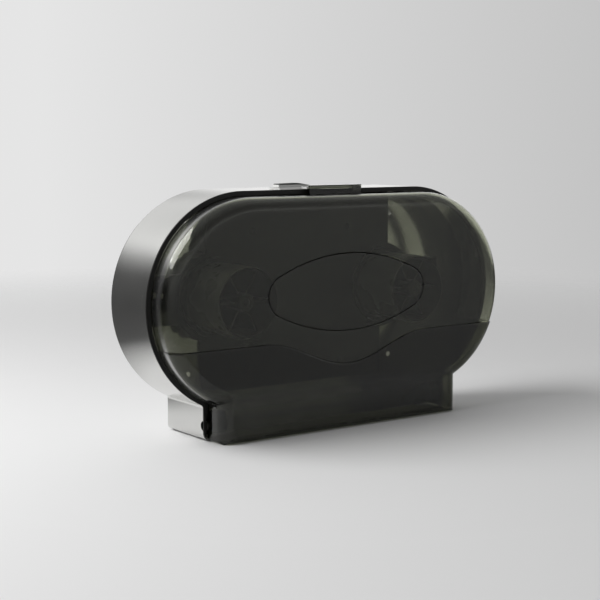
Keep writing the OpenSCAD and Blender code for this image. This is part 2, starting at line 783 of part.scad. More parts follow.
rear_housing();
rim_frame();
roll_bracket();
bracket_screws();
axle(-1);  // axle_left
axle(1);  // axle_right
axle_washer(-1);  // axle_washer_left
axle_washer(1);  // axle_washer_right
axle_screw(-1);  // axle_screw_left
axle_screw(1);  // axle_screw_right
hinge_block(-1);  // hinge_block_left
hinge_block(1);  // hinge_block_right
hinge_block_screws();
hinge_pin(-1);  // hinge_pin_left
hinge_pin(1);  // hinge_pin_right
latch_base();
latch_base_rivets();
core_spindle(-1);  // core_spindle_left
core_spindle(1);  // core_spindle_right
front_cover();
latch_catch();
tear_bar(-1);  // tear_bar_left
tear_bar(1);  // tear_bar_right
tear_bar_rivets();
latch_slider();
latch_retainer();
latch_screw();
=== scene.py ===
"""Twin jumbo toilet roll dispenser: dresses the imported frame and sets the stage."""

import json
import math

import bmesh
import bpy
from bpy.props import FloatProperty, FloatVectorProperty, IntProperty, PointerProperty
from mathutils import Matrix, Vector


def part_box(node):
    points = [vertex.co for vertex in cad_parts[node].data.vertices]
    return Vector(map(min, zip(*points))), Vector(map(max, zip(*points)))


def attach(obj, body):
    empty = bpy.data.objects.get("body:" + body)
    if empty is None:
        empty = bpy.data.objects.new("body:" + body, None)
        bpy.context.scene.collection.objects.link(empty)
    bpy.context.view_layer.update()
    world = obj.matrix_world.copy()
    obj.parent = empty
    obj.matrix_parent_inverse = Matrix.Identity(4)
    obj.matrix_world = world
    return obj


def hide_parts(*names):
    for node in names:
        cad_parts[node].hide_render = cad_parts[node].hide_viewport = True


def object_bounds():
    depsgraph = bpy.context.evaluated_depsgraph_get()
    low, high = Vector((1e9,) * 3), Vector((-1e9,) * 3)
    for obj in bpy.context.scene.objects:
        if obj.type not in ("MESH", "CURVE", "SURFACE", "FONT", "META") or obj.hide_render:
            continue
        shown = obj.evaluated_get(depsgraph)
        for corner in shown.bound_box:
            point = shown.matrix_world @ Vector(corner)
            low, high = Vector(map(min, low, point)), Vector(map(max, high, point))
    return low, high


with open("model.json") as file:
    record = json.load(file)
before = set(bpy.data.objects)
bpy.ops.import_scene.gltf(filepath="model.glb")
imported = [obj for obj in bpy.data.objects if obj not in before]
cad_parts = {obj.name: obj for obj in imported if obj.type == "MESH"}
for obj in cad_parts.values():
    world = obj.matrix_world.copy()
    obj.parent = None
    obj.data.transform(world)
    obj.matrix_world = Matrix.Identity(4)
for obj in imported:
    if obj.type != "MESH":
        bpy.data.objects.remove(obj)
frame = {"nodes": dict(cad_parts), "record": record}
CAD_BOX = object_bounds()

bl_info = {
    "name": "Twin jumbo roll dispenser",
    "version": (1, 0, 0),
    "blender": (4, 5, 0),
    "location": "3D View > Sidebar > Dispenser",
    "description": "Builds the finished pieces of a twin jumbo toilet roll dispenser",
    "category": "Object",
}

MM = 0.001
# A face is seen flat on from the front or back where its normal has more than this along Y
FLAT_ON = 0.7
# Reach of the slow smudges to each side of their middle
SMUDGE = 0.3
# Roughness that full dust adds
DUST_DULLS = 0.5
# Depth that a bump strength of 1 stands for
GRAIN_DEPTH = 0.1 * MM
# A face of the rim frame that is deeper than this belongs to its long leg
LEG_DEPTH = 3 * MM
# Height up to which the frame's lip stays as it is, along the neck
NECK_TOP = 32 * MM
# Distance from the front of the dispenser up to which the shell shows its rim
RIM_END = 40 * MM
# Faces of the cover take the painted shade of the engraved oval when they lie this near to the front and to
# the oval, and those that look forwards only from this depth on
GROOVE_REACH, GROOVE_SIDE, GROOVE_FLOOR = 2.2 * MM, 1.3 * MM, 1.0 * MM
# Height of the bracket's rounded top, which moves up as one
BRACKET_EDGE = 8.5 * MM
# Bracket screws that lie farther out than this are plated
ARM_START = 150 * MM
# Head radius, head height and shank radius of each fastener
BRACKET_SCREW = (3.8 * MM, 2.2 * MM, 1.8 * MM)
BLOCK_SCREW = (1.5 * MM, 0.9 * MM, 1.45 * MM)
LATCH_SCREW = (2.6 * MM, 1.4 * MM, 1.2 * MM)
RIVET = (2.4 * MM, 0.9 * MM, 1.5 * MM)
BODY_OF = {
    node: body
    for body, members in frame["record"]["behaviour"]["bodies"].items()
    for node in members
}


# ---------- Settings ----------


def colour(name, text, value):
    """A colour property shown as a swatch."""
    return FloatVectorProperty(
        name=name, description=text, subtype="COLOR", size=3, min=0, max=1, default=value
    )


def share(name, text, value, top=1.0):
    """A plain number between 0 and top."""
    return FloatProperty(name=name, description=text, default=value, min=0, max=top)


def length(name, text, value):
    """A length in metres."""
    return FloatProperty(name=name, description=text, default=value, min=0, unit="LENGTH")


class DispenserColours(bpy.types.PropertyGroup):
    """Colours of the finishes."""

    steel: colour("Steel", "Satin sheet metal of the shell", (0.68, 0.68, 0.665))
    moulding: colour("Black moulding", "Frame, bracket and hinge blocks", (0.010, 0.010, 0.0095))
    smoke: colour("Smoked cover", "Tint that the smoked cover gives with its depth", (0.755, 0.765, 0.70))
    smoke_low: colour("Smoked cover below the wave", "Extra tint of the lower cover", (0.40, 0.40, 0.37))
    spindle: colour("Spindle", "Drums that the roll cores slide onto", (0.10, 0.10, 0.094))
    latch: colour("Thumb piece", "Dark plastic of the thumb piece", (0.055, 0.058, 0.056))
    slide: colour("Slide", "Pale metal of the slide under its thumb piece", (0.74, 0.74, 0.73))
    # Painted shade: dark colour of the side walls inside, towards the back and the foot
    side_shade: colour("Side lining", "Dark rear and lower part of the side walls inside", (0.05, 0.05, 0.048))
    zinc: colour("Zinc", "Plated rivets and screws", (0.55, 0.55, 0.53))
    blackened: colour("Blackened steel", "Screws, pins and axles inside", (0.035, 0.035, 0.033))
    blade: colour("Tear bars", "Stamped steel of the tear bars", (0.58, 0.58, 0.56))
    floor: colour("Floor", "Floor under the dispenser", (0.86, 0.86, 0.86))
    backdrop: colour("Backdrop", "What lies behind the floor", (0.785, 0.785, 0.785))
    dusty: colour("Dust", "Dust that settles on faces that look up", (0.42, 0.41, 0.38))


class DispenserFinishes(bpy.types.PropertyGroup):
    """How glossy, clear and grainy the surfaces are."""

    steel_rough: share("Steel roughness", "Roughness of the satin outside of the sheet", 0.20)
    inner_rough: share("Inner roughness", "Roughness of the plain inside of the sheet", 0.13)
    moulding_rough: share("Moulding roughness", "Roughness of the black moulding", 0.45)
    smoke_rough: share("Cover roughness", "Roughness of the smoked cover", 0.04)
    smoke_haze: share("Cover haze", "Extra roughness of the inner face of the cover", 0.02)
    smoke_clear: share("Cover clearness", "Share of lamp light that passes one face of the cover", 0.85)
    smoke_density: share("Cover density", "Light that the cover takes over one metre", 1000.0, 5000.0)
    spindle_rough: share("Spindle roughness", "Roughness of the drums", 0.28)
    dust: share("Dust", "Amount of dust on faces that look up", 0.10)


class DispenserSizes(bpy.types.PropertyGroup):
    """Sizes of what the frame leaves open."""

    weld: length("Weld distance", "Points closer than this are joined", 2e-6)
    head_sides: IntProperty(name="Head sides", description="Sides of a screw head", default=28, min=8)
    recess: share("Recess", "Width of a screw's cross recess as a share of its radius", 0.30)
    seed: IntProperty(name="Turn seed", description="Sets how far each screw is turned", default=5, min=0)
    rim_y: FloatProperty(
        name="Rim", description="Where the rim of the shell lies", unit="LENGTH", default=-21 * MM
    )
    # Depth of the painted shade along the back edge of the cover
    edge_shade_band: length("Rim band", "Depth of the dark band along the edge of the cover", 2 * MM)
    # Where the painted shade on the side walls inside begins, in depth and in height
    side_shade_y: length("Shade start", "Depth at which the side walls turn dark inside", 20 * MM)
    side_shade_z: length("Shade height", "Height below which the side walls are dark inside", 105 * MM)
    rim_lip: length("Rim lip", "How far the front edge of the frame reaches in past its leg", 1.8 * MM)
    # Depth of the painted sheen along the side of the cover
    skirt: length("Skirt", "Depth of the shinier band along the side of the cover", 18 * MM)
    cap_z: length("Thumb cap", "Height above which the thumb piece is dark", 278.2 * MM)
    cap_foot_z: length("Thumb cap foot", "Height above which its faces that look up are dark", 276 * MM)
    bracket_top: length("Bracket top", "Height that the plate of the bracket reaches up to", 268 * MM)
    end_x: length("Round end offset", "Distance of the round ends from the middle", 122 * MM)
    drum_r: length("Drum inside", "Radius inside which the drums are black", 39 * MM)
    end_z: length("Round end height", "Height of the middle of the round ends", 150.5 * MM)
    wave_z: length("Wave height", "Height of the level ends of the wave line", 105.5 * MM)
    wave_drop: length("Wave drop", "Drop of the wave line at its middle", 30 * MM)
    wave_reach: length("Wave reach", "Half the length of the dip in the wave line", 114 * MM)
    oval_z: length("Oval height", "Height of the middle of the engraved oval", 157.5 * MM)
    oval_a: length("Oval length", "Half length of the engraved oval", 111 * MM)
    oval_b: length("Oval width", "Half height of the engraved oval", 44 * MM)
    oval_end: length("Oval ends", "Radius of the tight ends of the oval", 24 * MM)
    # Half width of the painted shade along the engraved lines, and of their bump
    line_width: length("Line width", "Half width of the engraved lines", 0.9 * MM)
    line_depth: length("Line depth", "Depth of the engraved lines", 0.5 * MM)
    floor_size: length("Floor size", "Half width of the floor", 9.0)


def settings():
    """The three groups of settings of the open scene."""
    scene = bpy.context.scene
    return scene.dispenser_colours, scene.dispenser_finishes, scene.dispenser_sizes


# ---------- Shader helpers ----------


def new_group(name, inputs, outputs):
    """An empty shader node group with float inputs and outputs of the given kinds."""
    tree = bpy.data.node_groups.new(name, "ShaderNodeTree")
    for label, value in inputs:
        socket = tree.interface.new_socket(label, in_out="INPUT", socket_type="NodeSocketFloat")
        socket.default_value = value
    for label, kind in outputs:
        tree.interface.new_socket(label, in_out="OUTPUT", socket_type=kind)
    return tree, tree.nodes.new("NodeGroupInput"), tree.nodes.new("NodeGroupOutput")


def put(tree, kind, **values):
    """Adds a node, sets its properties, and sets or links its inputs by name or number."""
    node = tree.nodes.new(kind)
    inputs = values.pop("inputs", {})
    for key, value in values.items():
        setattr(node, key, value)
    for key, value in inputs.items():
        if isinstance(value, bpy.types.NodeSocket):
            tree.links.new(value, node.inputs[key])
        else:
            node.inputs[key].default_value = value
    return node


def maths(tree, operation, *terms, clamp=False):
    """A Math node's result."""
    node = put(tree, "ShaderNodeMath", operation=operation, use_clamp=clamp, inputs=dict(enumerate(terms)))
    return node.outputs[0]


def ramp(tree, value, start, end, low=0.0, high=1.0):
    """Turns one range of a value into another, held at its ends."""
    return put(tree, "ShaderNodeMapRange", inputs={
        0: value, 1: start, 2: end, 3: low, 4: high}).outputs[0]


def blend(tree, amount, first, second, **values):
    """Mixes two colours."""
    return put(tree, "ShaderNodeMix", data_type="RGBA", inputs={0: amount, 6: first, 7: second},
               **values).outputs[2]


def split(tree, vector):
    """X, Y and Z of a vector."""
    return put(tree, "ShaderNodeSeparateXYZ", inputs={0: vector}).outputs


def place(tree):
    """Where a point lies on its piece."""
    return put(tree, "ShaderNodeTexCoord").outputs["Object"]


def facing(tree):
    """The direction that a face looks in."""
    return put(tree, "ShaderNodeNewGeometry").outputs["Normal"]


def feeding(shader, name):
    """The output that is linked to an input of a shader."""
    return shader.inputs[name].links[0].from_socket


def grain_group():
    """Fine moulded or blasted grain: a height for bump and a slow mask for smudges."""
    tree, given, out = new_group(
        "Fine grain",
        [("Grain Scale", 900.0), ("Smudge Scale", 18.0)],
        [("Height", "NodeSocketFloat"), ("Smudge", "NodeSocketFloat")],
    )
    fine = put(tree, "ShaderNodeTexNoise", inputs={
        "Vector": place(tree), "Scale": given.outputs["Grain Scale"], "Detail": 3.0, "Roughness": 0.6})
    slow = put(tree, "ShaderNodeTexNoise", inputs={
        "Vector": place(tree), "Scale": given.outputs["Smudge Scale"], "Detail": 4.0, "Roughness": 0.55})
    tree.links.new(fine.outputs[0], out.inputs["Height"])
    tree.links.new(maths(tree, "SUBTRACT", slow.outputs[0], 0.5), out.inputs["Smudge"])
    return tree


def brushed_group():
    """Brushed lines that run round the side band and across the back of the shell."""
    tree, given, out = new_group(
        "Brushed lines",
        [("Line Scale", 1400.0), ("Along", 9.0)],
        [("Height", "NodeSocketFloat")],
    )
    point = split(tree, place(tree))
    back = maths(tree, "GREATER_THAN", maths(tree, "ABSOLUTE", split(tree, facing(tree))[1]), FLAT_ON)
    along, lines = given.outputs["Along"], given.outputs["Line Scale"]
    heights = []
    for scales in ((along, lines, along), (along, along, lines)):
        vector = put(tree, "ShaderNodeCombineXYZ", inputs={
            i: maths(tree, "MULTIPLY", point[i], scales[i]) for i in range(3)})
        heights.append(put(tree, "ShaderNodeTexNoise", inputs={
            "Vector": vector.outputs[0], "Scale": 1.0, "Detail": 4.0, "Roughness": 0.6}).outputs[0])
    mixed = put(tree, "ShaderNodeMix", data_type="FLOAT", inputs={0: back, 2: heights[0], 3: heights[1]})
    tree.links.new(mixed.outputs[0], out.inputs["Height"])
    return tree


def dust_group():
    """Mask of the thin dust that settles on faces that look up."""
    tree, given, out = new_group(
        "Settled dust", [("Amount", 0.1), ("Scale", 220.0)], [("Mask", "NodeSocketFloat")]
    )
    up = ramp(tree, split(tree, facing(tree))[2], 0.35, 1.0)
    specks = put(tree, "ShaderNodeTexNoise", inputs={
        "Vector": place(tree), "Scale": given.outputs["Scale"], "Detail": 6.0, "Roughness": 0.7})
    mask = maths(tree, "MULTIPLY", up, ramp(tree, specks.outputs[0], 0.35, 0.75, 0.2, 1.0))
    tree.links.new(maths(tree, "MULTIPLY", mask, given.outputs["Amount"], clamp=True), out.inputs["Mask"])
    return tree


def group(name):
    """A shared node group, built the first time it is asked for."""
    makers = {"Fine grain": grain_group, "Brushed lines": brushed_group, "Settled dust": dust_group}
    return bpy.data.node_groups.get(name) or makers[name]()


def use(tree, name, **values):
    """Places a shared group in a material with its own values."""
    node = tree.nodes.new("ShaderNodeGroup")
    node.node_tree = group(name)
    for key, value in values.items():
        node.inputs[key.replace("_", " ")].default_value = value
    return node


def finish(name, base, rough, metallic=0.0, spread=0.06, bump=0.02, grain=900.0, lines=0.0, dust=None,
           vary=0.12, **plain):
    """A finish: base colour with slow variation, uneven roughness, grain or brushed bump, and dust."""
    found = bpy.data.materials.get(name)
    if found:
        return found
    colours, finishes, _ = settings()
    material = bpy.data.materials.new(name)
    material.use_nodes = True
    tree = material.node_tree
    shader = tree.nodes["Principled BSDF"]
    for key, value in plain.items():
        shader.inputs[key.replace("_", " ")].default_value = value
    shader.inputs["Metallic"].default_value = metallic
    texture = use(tree, "Fine grain", Grain_Scale=grain, Smudge_Scale=16.0)
    smudge = texture.outputs["Smudge"]
    tint = put(tree, "ShaderNodeVectorMath", operation="SCALE", inputs={
        0: base, "Scale": ramp(tree, smudge, -SMUDGE, SMUDGE, 1 - vary, 1 + vary)})
    settled = use(tree, "Settled dust", Amount=finishes.dust if dust is None else dust).outputs["Mask"]
    layered = blend(tree, settled, tint.outputs[0], (*colours.dusty, 1))
    tree.links.new(layered, shader.inputs["Base Color"])
    uneven = ramp(tree, smudge, -SMUDGE, SMUDGE, rough - spread, rough + spread)
    dulled = maths(tree, "MULTIPLY_ADD", settled, DUST_DULLS, uneven, clamp=True)
    tree.links.new(dulled, shader.inputs["Roughness"])
    height = texture.outputs["Height"]
    if lines:
        brushed = use(tree, "Brushed lines", Line_Scale=lines)
        height = maths(tree, "ADD", brushed.outputs["Height"], maths(tree, "MULTIPLY", height, 0.3))
    relief = put(tree, "ShaderNodeBump", inputs={
        "Strength": bump, "Distance": GRAIN_DEPTH, "Height": height})
    tree.links.new(relief.outputs[0], shader.inputs["Normal"])
    return material


def steel():
    """Satin sheet metal."""
    colours, finishes, _ = settings()
    return finish("Satin steel", colours.steel, finishes.steel_rough, metallic=1.0, bump=0.10,
                  lines=1400.0, vary=0.03, spread=0.03)


def inner_steel(name="Inner steel"):
    """The smoother inside of the sheet metal, paler than the outside: the extra paleness is painted light.
    """
    colours, finishes, _ = settings()
    # Paler by 0.1 than the outside steel: painted light
    return finish(name, [c + 0.1 for c in colours.steel], finishes.inner_rough, metallic=1.0,
                  bump=0.03, lines=1400.0, vary=0.03, spread=0.03)


def side_steel():
    """The inside of the side walls, with painted shade that darkens them towards the back and the foot."""
    colours, _, sizes = settings()
    material = inner_steel("Side steel")
    tree = material.node_tree
    shader = tree.nodes["Principled BSDF"]
    _, depth, height = split(tree, place(tree))
    deep = ramp(tree, depth, sizes.side_shade_y - 2 * MM, sizes.side_shade_y + 2 * MM)
    low = ramp(tree, height, sizes.side_shade_z + 6 * MM, sizes.side_shade_z - 6 * MM)
    # Painted shade on the rear and lower side walls
    shaded_colour = blend(tree, maths(tree, "MAXIMUM", deep, low), feeding(shader, "Base Color"),
                  (*colours.side_shade, 1))
    tree.links.new(shaded_colour, shader.inputs["Base Color"])
    return material


def moulding():
    """Black moulded plastic with a fine grain."""
    colours, finishes, _ = settings()
    return finish("Black moulding", colours.moulding, finishes.moulding_rough, bump=0.04, grain=1500.0,
                  Specular_IOR_Level=0.28)


def painted_groove_shade():
    """Painted shade: dull black in the faces of the engraved oval."""
    return finish("Engraved line", settings()[0].moulding, 0.85, bump=0.02, grain=1500.0,
                  Specular_IOR_Level=0.05)


def wave_depth(tree, across, height):
    """How far a point lies below the wave line of the cover, in metres."""
    sizes = settings()[2]
    reach = maths(tree, "DIVIDE", maths(tree, "ABSOLUTE", across), sizes.wave_reach, clamp=True)
    swing = maths(tree, "COSINE", maths(tree, "MULTIPLY", reach, math.pi))
    drop = maths(tree, "MULTIPLY_ADD", swing, sizes.wave_drop / 2, sizes.wave_drop / 2)
    line = maths(tree, "SUBTRACT", sizes.wave_z, drop)
    return maths(tree, "SUBTRACT", line, height)


def oval_arcs():
    """Middle and radius of the oval line's tight arc and of its flat arc, and where the two meet."""
    sizes = settings()[2]
    a, b, tight = sizes.oval_a, sizes.oval_b, sizes.oval_end
    flat = (a**2 + b**2 - 2 * a * tight) / (2 * (b - tight))
    return (a - tight, 0.0, tight), (0.0, b - flat, flat), (a - tight) * flat / (flat - tight)


def oval_distance(tree, across, height):
    """Distance of a point from the engraved oval of the cover, in metres."""
    *both, meet = oval_arcs()
    x = maths(tree, "ABSOLUTE", across)
    z = maths(tree, "ABSOLUTE", maths(tree, "SUBTRACT", height, settings()[2].oval_z))
    arcs = []
    for dx, dz, radius in both:
        offset = put(tree, "ShaderNodeCombineXYZ", inputs={
            0: maths(tree, "SUBTRACT", x, dx), 1: maths(tree, "SUBTRACT", z, dz)})
        reach = put(tree, "ShaderNodeVectorMath", operation="LENGTH", inputs={0: offset.outputs[0]})
        arcs.append(maths(tree, "SUBTRACT", reach.outputs["Value"], radius))
    at_end = maths(tree, "GREATER_THAN", x, meet)
    chosen = put(tree, "ShaderNodeMix", data_type="FLOAT", inputs={0: at_end, 2: arcs[1], 3: arcs[0]})
    return maths(tree, "ABSOLUTE", chosen.outputs[0])


def off_oval(point):
    """Distance of a point of the cover from the middle of the engraved oval line."""
    tight, flat, meet = oval_arcs()
    x, z = abs(point.x), abs(point.z - settings()[2].oval_z)
    dx, dz, radius = tight if x > meet else flat
    return abs(math.hypot(x - dx, z - dz) - radius)


def smoked():
    """Smoked plastic that is darkened by its thickness, and is darker still below the wave line."""
    colours, finishes, sizes = settings()
    name = "Smoked plastic"
    if bpy.data.materials.get(name):
        return bpy.data.materials[name]
    material = finish(name, (1.0, 1.0, 1.0), finishes.smoke_rough, bump=0.004, grain=60.0,
                      spread=0.01, dust=0.03, vary=0.0, Transmission_Weight=1.0, IOR=1.49,
                      Coat_IOR=4.0, Coat_Roughness=0.22)
    tree = material.node_tree
    shader = tree.nodes["Principled BSDF"]
    across, forward, height = split(tree, place(tree))
    black = (*colours.moulding, 1)
    below = wave_depth(tree, across, height)
    tinted = blend(tree, ramp(tree, below, -0.3 * MM, 0.3 * MM), feeding(shader, "Base Color"),
                   (*colours.smoke_low, 1), blend_type="MULTIPLY")
    # Painted shade: the wave line and the oval line are drawn dark on the outer face
    line = maths(tree, "MINIMUM", maths(tree, "ABSOLUTE", below), oval_distance(tree, across, height))
    widths = maths(tree, "DIVIDE", line, sizes.line_width)
    bell = maths(tree, "EXPONENT", maths(tree, "MULTIPLY", maths(tree, "MULTIPLY", widths, widths), -1.0))
    # Painted shade: the cover turns black in a narrow band along its back edge, by the frame
    band = sizes.rim_y - sizes.edge_shade_band
    edge_shaded = blend(tree, ramp(tree, forward, band - 1.5 * MM, band), tinted, black)
    behind = put(tree, "ShaderNodeNewGeometry").outputs["Backfacing"]
    outside = maths(tree, "SUBTRACT", 1.0, behind)
    cut = maths(tree, "MULTIPLY", bell, outside)
    shaded_colour = blend(tree, maths(tree, "MULTIPLY", cut, 0.9), edge_shaded, black)
    tree.links.new(shaded_colour, shader.inputs["Base Color"])
    relief = put(tree, "ShaderNodeBump", inputs={
        "Strength": 1.0, "Distance": 1.0, "Height": maths(tree, "MULTIPLY", cut, -sizes.line_depth),
        "Normal": feeding(shader, "Normal")})
    tree.links.new(relief.outputs[0], shader.inputs["Normal"])
    hazy = maths(tree, "MULTIPLY_ADD", behind, finishes.smoke_haze, feeding(shader, "Roughness"))
    tree.links.new(hazy, shader.inputs["Roughness"])
    # Painted sheen: a shiny top layer only on the skirt, above the neck and left of the middle
    painted_sheen, skirt = outside, sizes.rim_y - sizes.skirt
    for along, start, end in ((forward, skirt - 4 * MM, skirt + 1 * MM), (height, 38 * MM, 52 * MM),
                              (across, -38 * MM, -110 * MM)):
        painted_sheen = maths(tree, "MULTIPLY", painted_sheen, ramp(tree, along, start, end))
    tree.links.new(painted_sheen, shader.inputs["Coat Weight"])
    rays = put(tree, "ShaderNodeLightPath")
    soft = maths(tree, "MAXIMUM", rays.outputs["Is Shadow Ray"], rays.outputs["Is Diffuse Ray"])
    tree.links.new(maths(tree, "MULTIPLY_ADD", soft, -finishes.smoke_clear, 1.0), shader.inputs["Alpha"])
    depth = put(tree, "ShaderNodeVolumeAbsorption",
                inputs={"Color": (*colours.smoke, 1), "Density": finishes.smoke_density})
    tree.links.new(depth.outputs[0], tree.nodes["Material Output"].inputs["Volume"])
    return material


def drum():
    """Grey glossy plastic of the drums."""
    colours, finishes, _ = settings()
    return finish("Spindle plastic", colours.spindle, finishes.spindle_rough, bump=0.03, grain=900.0)


def thumb():
    """Dark plastic of the thumb piece."""
    colours, _, sizes = settings()
    material = finish("Thumb plastic", colours.latch, 0.55, bump=0.08, grain=1300.0, Specular_IOR_Level=0.3)
    tree = material.node_tree
    shader = tree.nodes["Principled BSDF"]
    height = split(tree, place(tree))[2]
    up = maths(tree, "GREATER_THAN", split(tree, facing(tree))[2], 0.3)
    cap = maths(tree, "GREATER_THAN", height, sizes.cap_z)
    top = maths(tree, "MULTIPLY", up, maths(tree, "GREATER_THAN", height, sizes.cap_foot_z))
    layered = blend(tree, maths(tree, "MAXIMUM", cap, top), (*colours.slide, 1),
                    feeding(shader, "Base Color"))
    tree.links.new(layered, shader.inputs["Base Color"])
    return material


def slide():
    """Pale metal of the slide."""
    return finish("Slide metal", settings()[0].slide, 0.30, metallic=0.4, bump=0.05, grain=1100.0)


def zinc():
    """Zinc plate."""
    return finish("Zinc plate", settings()[0].zinc, 0.34, metallic=1.0, bump=0.06, grain=1100.0,
                  spread=0.08)


def blackened():
    """Blackened steel of the screws and axles inside."""
    return finish("Blackened steel", settings()[0].blackened, 0.38, metallic=1.0, bump=0.05, grain=1100.0)


def blade():
    """Stamped stainless strip."""
    return finish("Blade steel", settings()[0].blade, 0.27, metallic=1.0, bump=0.10, lines=1800.0,
                  spread=0.05)


# ---------- Mesh helpers ----------


def add_object(name, mesh):
    """Links a new object at the origin."""
    made = bpy.data.objects.new(name, mesh)
    bpy.context.scene.collection.objects.link(made)
    return made


def joined_mesh(node):
    """A merged copy of a CAD node's loose triangles, with degenerate edges and faces dissolved."""
    source = frame["nodes"][node].data
    made = bmesh.new()
    made.from_mesh(source)
    bmesh.ops.remove_doubles(made, verts=made.verts, dist=settings()[2].weld)
    bmesh.ops.dissolve_degenerate(made, edges=made.edges, dist=settings()[2].weld)
    points = [v.co.copy() for v in made.verts]
    index = {v: i for i, v in enumerate(made.verts)}
    faces = [[index[v] for v in f.verts] for f in made.faces]
    made.free()
    mesh = bpy.data.meshes.new(node + "_skin")
    mesh.from_pydata(points, [], faces)
    mesh.validate()
    return mesh


def smooth_up_to(work, angle):
    """Shades a mesh smooth, and keeps the edges sharp that turn by more than an angle in degrees."""
    for face in work.faces:
        face.smooth = True
    for edge in work.edges:
        edge.smooth = len(edge.link_faces) == 2 and edge.calc_face_angle(0) < math.radians(angle)


def stand_in(made, node):
    """Lets a piece stand for a CAD node, on the node's body."""
    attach(made, BODY_OF[node])
    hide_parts(node)
    return made


def skin(node, material, angle=32.0):
    """Stands a merged, smooth-shaded copy in for a CAD node."""
    mesh = joined_mesh(node)
    made = add_object(node + "_finish", mesh)
    work = bmesh.new()
    work.from_mesh(mesh)
    bmesh.ops.dissolve_limit(work, angle_limit=math.radians(0.3), verts=work.verts, edges=work.edges)
    smooth_up_to(work, angle)
    work.to_mesh(mesh)
    work.free()
    mesh.materials.append(material)
    weighted = made.modifiers.new("Even shading", "WEIGHTED_NORMAL")
    weighted.keep_sharp = True
    weighted.weight = 80
    return stand_in(made, node)


def outward(point):
    """Way out to a point from the line between the middles of the round ends, seen from the front."""
    sizes = settings()[2]
    out = point - Vector((0, 0, sizes.end_z))
    out.x -= max(-sizes.end_x, min(sizes.end_x, out.x))
    out.y = 0
    return out


def widen_lip(mesh, reach):
    """Leans the front edge of the rim frame's inner wall in, to close on the cover's edge."""
    work = bmesh.new()
    work.from_mesh(mesh)
    front = min(v.co.y for v in work.verts) + 0.5 * MM
    moves = {}
    for face in work.faces:
        depths = [v.co.y for v in face.verts]
        inward = abs(face.normal.y) < 0.3 and face.normal.dot(outward(face.calc_center_median())) < 0
        if inward and max(depths) - min(depths) > LEG_DEPTH:
            for point in face.verts:
                if point.co.y < front and point.co.z > NECK_TOP:
                    moves[point] = moves.get(point, Vector()) + face.normal
    for point, way in moves.items():
        way.y = 0
        point.co += way.normalized() * reach
    work.to_mesh(mesh)
    work.free()


# ---------- Fasteners ----------


